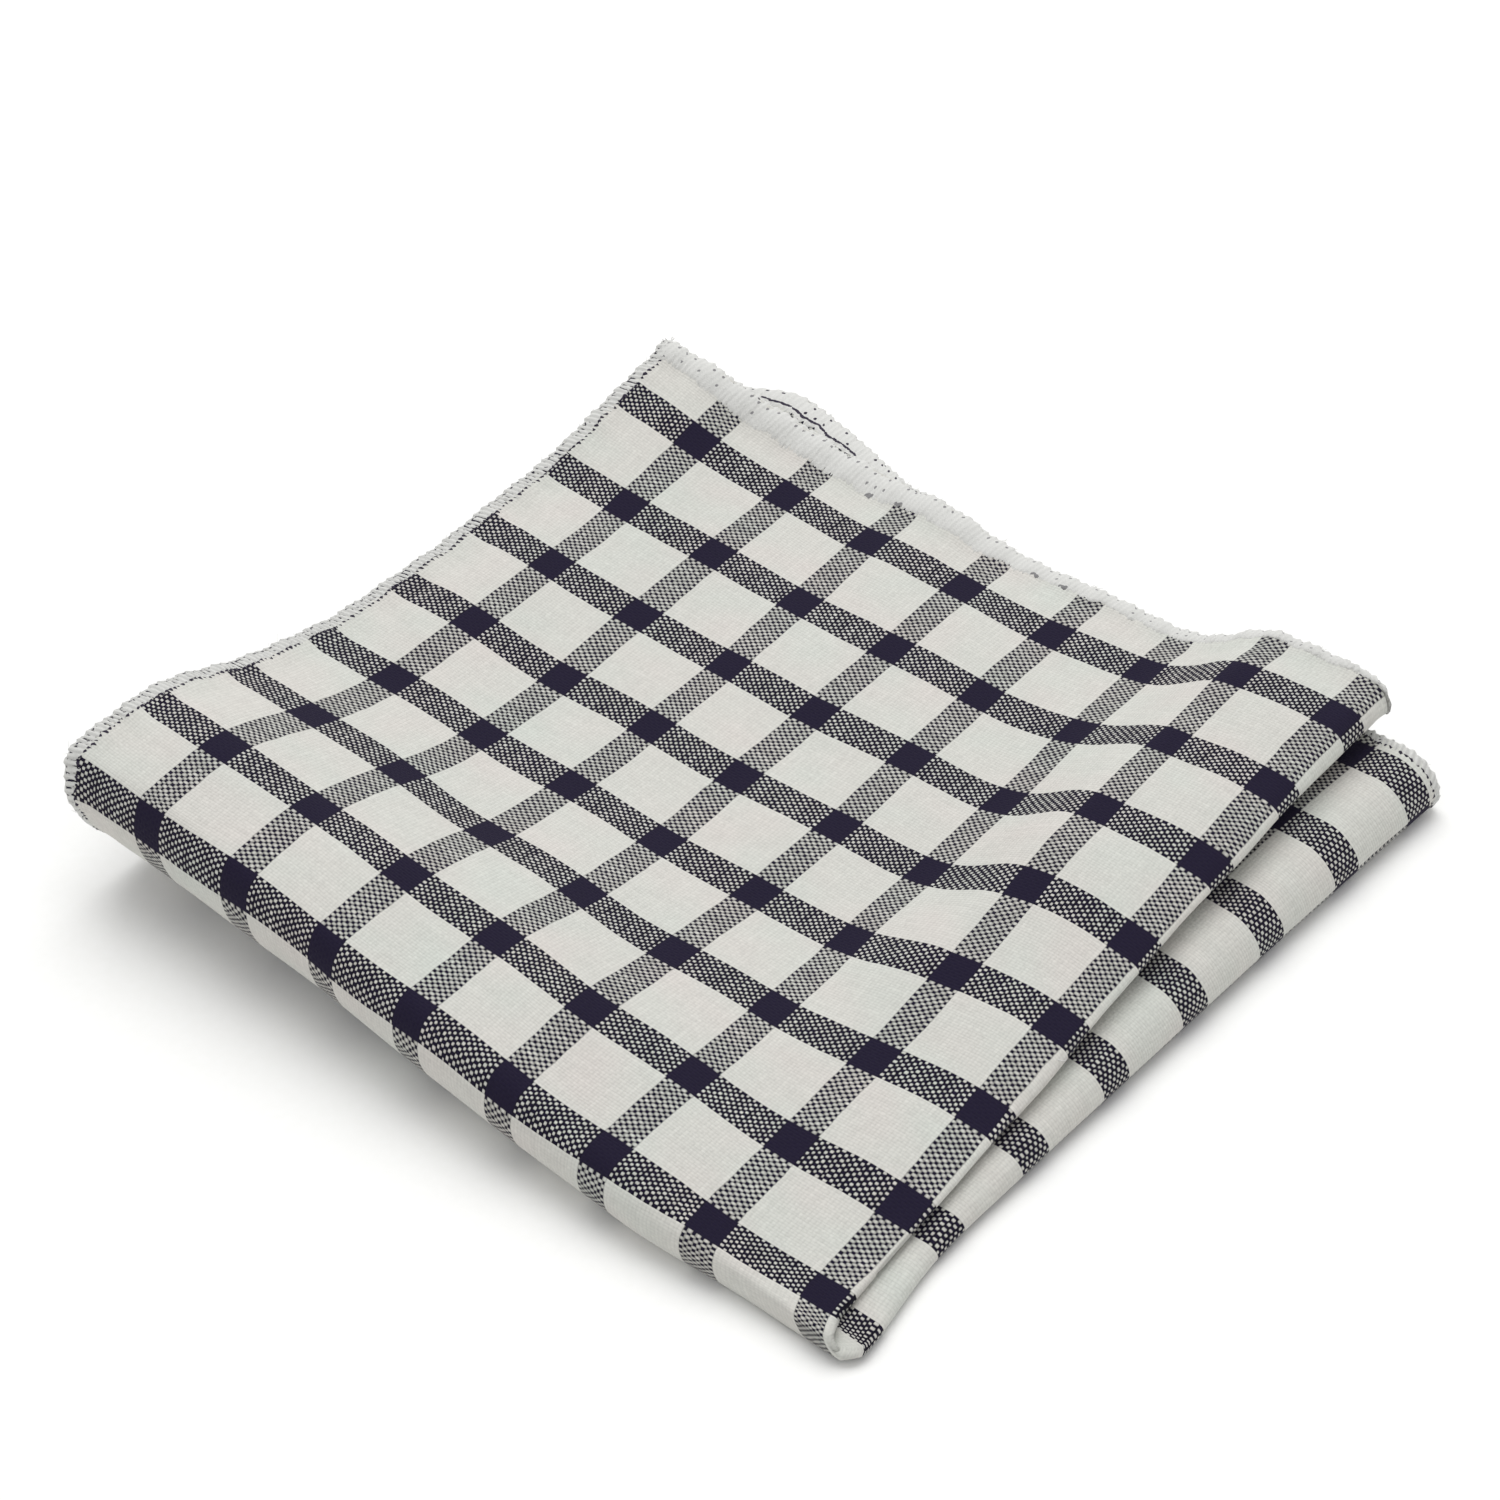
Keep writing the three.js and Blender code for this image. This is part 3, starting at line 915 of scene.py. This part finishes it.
warmth = noise(weave, count_s, count_t, PATCHES["scale"], detail=1.0)
pale = mixed(weave, PATCHES["share"], WHITE_YARN, mixed(weave, warmth, COOL, WARM))
dyed = mixed(weave, navy, pale, NAVY_YARN)
slub = slub_t + s_shows * (slub_s - slub_t)
mottle = noise(weave, count_s * MOTTLE["s"], count_t * MOTTLE["t"], detail=3.0) - 0.5
grain = noise(weave, count_s * GRAIN["s"], count_t * GRAIN["t"]) - 0.5
crossed = weave.maths("ABSOLUTE", navy_s - navy_t)
rim = weave.maths("MINIMUM", 1.0 - (back_t - OVER + s_shows * (back_s - back_t + OVER)), RIM_MOST)
# Painted shade: darker where a yarn dips between its neighbours, and in the navy and white bands a flat
# darkening that is partly navy showing through and partly painted shade.
shade = 1.0 - DIP_SHADE * rim + YARN_SHADE * slub + MOTTLE["shade"] * mottle + GRAIN["shade"] * grain
shade = shade * (1.0 - crossed * (SHOWS_THROUGH_AND_SHADE + RIM_SHADE * rim))
shaded = scaled(weave, dyed, shade)
bump = weave.node("ShaderNodeBump", None, {
    "Height": height,
    "Strength": WEAVE_BUMP["strength"],
    "Distance": WEAVE_BUMP["distance"] * MM,
})
woven_check = finish_cloth({
    "Base Color": shaded,
    "Roughness": 0.86 + 0.08 * height,
    "Normal": bump,
    "Specular IOR Level": 0.15,
    "Sheen Weight": 0.03,
})
sheet.data.materials.append(woven_check)
print("cloth material, nodes:", len(woven_check.node_tree.nodes))

# %% [markdown]
# ## Hem thread
# The overlock thread is a whiter, softer cotton than the cloth. Dark specks sit along it in rows, where
# cut yarns and the needle thread come through between the turns. They follow the band's own coordinates,
# a spot to a stitch, and a random number for each stitch leaves some of them out. The grooves between
# the turns are darkened with painted shade. The far hem is softer and whiter than the others, and its
# under layer has a dark line of painted shadow, for the gap where the top hem lies against it.

# %% Hem material
THREAD = colour("d3d3d0")
SPECK_AND_SHADOW = colour("35303f")
STITCH = 1.44
GROOVE_SHADE = 0.11
SOFTER = 0.7
PALER = 0.35
WHITER = 0.09
THREAD_DARK = 0.78
THREAD_LIGHT = 0.25
FIBRE_FINE = dict(turn=5.0, across=16.0)
THREAD_BUMP = dict(strength=0.5, distance=0.15)
TWIST_SCALE = 4000.0
SPECK_AND_SHADOW_STRAYS = 0.4
ROW_SEED = 300.0
SPECK_AND_SHADOW_ROWS = [
    dict(across=0.2, long=0.13, wide=0.05, share=0.6, far=0.65, under=0.5),
    dict(across=0.55, long=0.12, wide=0.05, share=0.15, far=0.2, under=0.2),
    dict(across=0.86, long=0.5, wide=0.11, share=0.97, far=0.06, under=0.0),
    # Last row: a dark line of painted shadow on the far hem's under layer, for the gap under the top hem.
    dict(across=0.7, long=0.62, wide=0.05, share=0.0, far=0.0, under=0.95),
]

wound, finish_hem = new_material("overlock_thread")
band_map = wound.node("ShaderNodeUVMap", {"uv_map": "flat"})
turn = wound.node("ShaderNodeSeparateXYZ", None, {"Vector": band_map}, output=0) * sum(TURNS)
across = wound.node("ShaderNodeSeparateXYZ", None, {"Vector": band_map}, output=1)
on_far_hem = (turn > sum(TURNS[:2])) * (turn < sum(TURNS[:3]))
on_under_layer = (turn > sum(TURNS[:2]) + FIRST_FOLD / BAND["turn"]) * (turn < sum(TURNS[:3]))
stitches = turn * (BAND["turn"] / STITCH)
stitch = stitches.floor()
inside_stitch = stitches - stitch - 0.5
specks_and_shadow = None
for row, dark_row in enumerate(SPECK_AND_SHADOW_ROWS):
    chance = wound.node("ShaderNodeTexWhiteNoise", {"noise_dimensions": "1D"}, {"W": stitch + ROW_SEED * row})
    off_along = (inside_stitch + SPECK_AND_SHADOW_STRAYS * (chance - 0.5)) * (1.0 / dark_row["long"])
    off_across = (across - dark_row["across"]) * (1.0 / dark_row["wide"])
    enough = dark_row["share"] + (dark_row["far"] - dark_row["share"]) * on_far_hem
    enough = enough + (dark_row["under"] - dark_row["far"]) * on_under_layer
    spot = (off_along * off_along + off_across * off_across < 1.0) * (chance < enough)
    specks_and_shadow = spot if specks_and_shadow is None else specks_and_shadow + spot
wound_turn = (turn + BAND["slant"] * across) * (2 * math.pi)
fibre = noise(wound, turn * FIBRE_FINE["turn"], across * FIBRE_FINE["across"], detail=3.0)
speckled_and_shaded = specks_and_shadow * (1.0 - PALER * (on_far_hem - on_under_layer))
# Painted shade in the grooves between the turns of thread, softer on the far hem.
groove_shade = GROOVE_SHADE * (1.0 - SOFTER * on_far_hem) * wound_turn.cosine()
thread_shade = THREAD_DARK + THREAD_LIGHT * fibre + WHITER * on_far_hem + groove_shade
fuzz = wound.node("ShaderNodeBump", None, {
    "Height": fibre,
    "Strength": THREAD_BUMP["strength"],
    "Distance": THREAD_BUMP["distance"] * MM,
})
overlock_thread = finish_hem({
    "Base Color": scaled(wound, mixed(wound, speckled_and_shaded, THREAD, SPECK_AND_SHADOW), thread_shade),
    "Roughness": 0.85 + 0.1 * fibre,
    "Normal": fuzz,
    "Specular IOR Level": 0.2,
    "Sheen Weight": 0.1,
})
hems.data.materials.append(overlock_thread)

spun, finish_tail = new_material("loose_thread")
place = spun.node("ShaderNodeTexCoord", output=3)
twist = spun.node("ShaderNodeTexNoise", None, {"Vector": place, "Scale": TWIST_SCALE})
loose_thread = finish_tail({
    "Base Color": scaled(spun, THREAD[:3], 0.8 + 0.3 * twist),
    "Roughness": 0.85 + 0.1 * twist,
})
tails.data.materials.append(loose_thread)
fibres.data.materials.append(loose_thread)
print("hem material, nodes:", len(overlock_thread.node_tree.nodes))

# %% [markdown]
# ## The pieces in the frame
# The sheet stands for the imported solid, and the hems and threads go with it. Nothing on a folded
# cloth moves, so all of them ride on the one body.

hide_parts("pocket_square")
for piece in (sheet, hems, tails, fibres):
    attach(piece, "root")
print("pieces:", [piece.name for piece in (sheet, hems, tails, fibres)])

# %% [markdown]
# ## Floor and light
# A pale floor and a broad soft light from above show cloth best: the shade in each fold comes from the
# fold alone. A white surround fills the shadows.

# %% Studio
FLOOR_SIDE = 3.0
LIGHT_SIDE = 0.9
LIGHT_AT = Vector((-0.25, 0.3, 0.9))
LIGHT_POWER = 6.6
SURROUND = 0.68
PAPER_SCALE = 900.0


def studio_floor():
    """A square plane at the height of the table, with a faint grain."""
    side = np.array([-FLOOR_SIDE, FLOOR_SIDE]) / 2 / MM
    x, y = np.meshgrid(side, side[::-1])
    points = np.stack([x, y, 0.0 * x], -1) - SHIFT
    return make_piece("studio_floor", points, quads(2, 2))


floor = studio_floor()
paper, finish_paper = new_material("pale_paper")
paper_place = paper.node("ShaderNodeTexCoord", output=3)
paper_grain = paper.node("ShaderNodeTexNoise", None, {"Vector": paper_place, "Scale": PAPER_SCALE})
floor.data.materials.append(finish_paper({
    "Base Color": mixed(paper, paper_grain, colour("f6f6f4"), colour("f9f9f8")),
    "Roughness": 0.9,
}))

lamp = bpy.data.lights.new("soft_box", "AREA")
lamp.size = LIGHT_SIDE
lamp.energy = LIGHT_POWER
soft_box = bpy.data.objects.new("soft_box", lamp)
soft_box.location = LIGHT_AT
soft_box.rotation_mode = "QUATERNION"
soft_box.rotation_quaternion = (-LIGHT_AT).to_track_quat("-Z", "Y")
bpy.context.scene.collection.objects.link(soft_box)

world = bpy.data.worlds.new("white_surround")
world.use_nodes = True
world.node_tree.nodes["Background"].inputs["Color"].default_value = (1.0, 1.0, 1.0, 1.0)
world.node_tree.nodes["Background"].inputs["Strength"].default_value = SURROUND
bpy.context.scene.world = world
bpy.context.scene.view_settings.view_transform = "Standard"
print("light above the floor, m:", round(soft_box.location.z, 2))
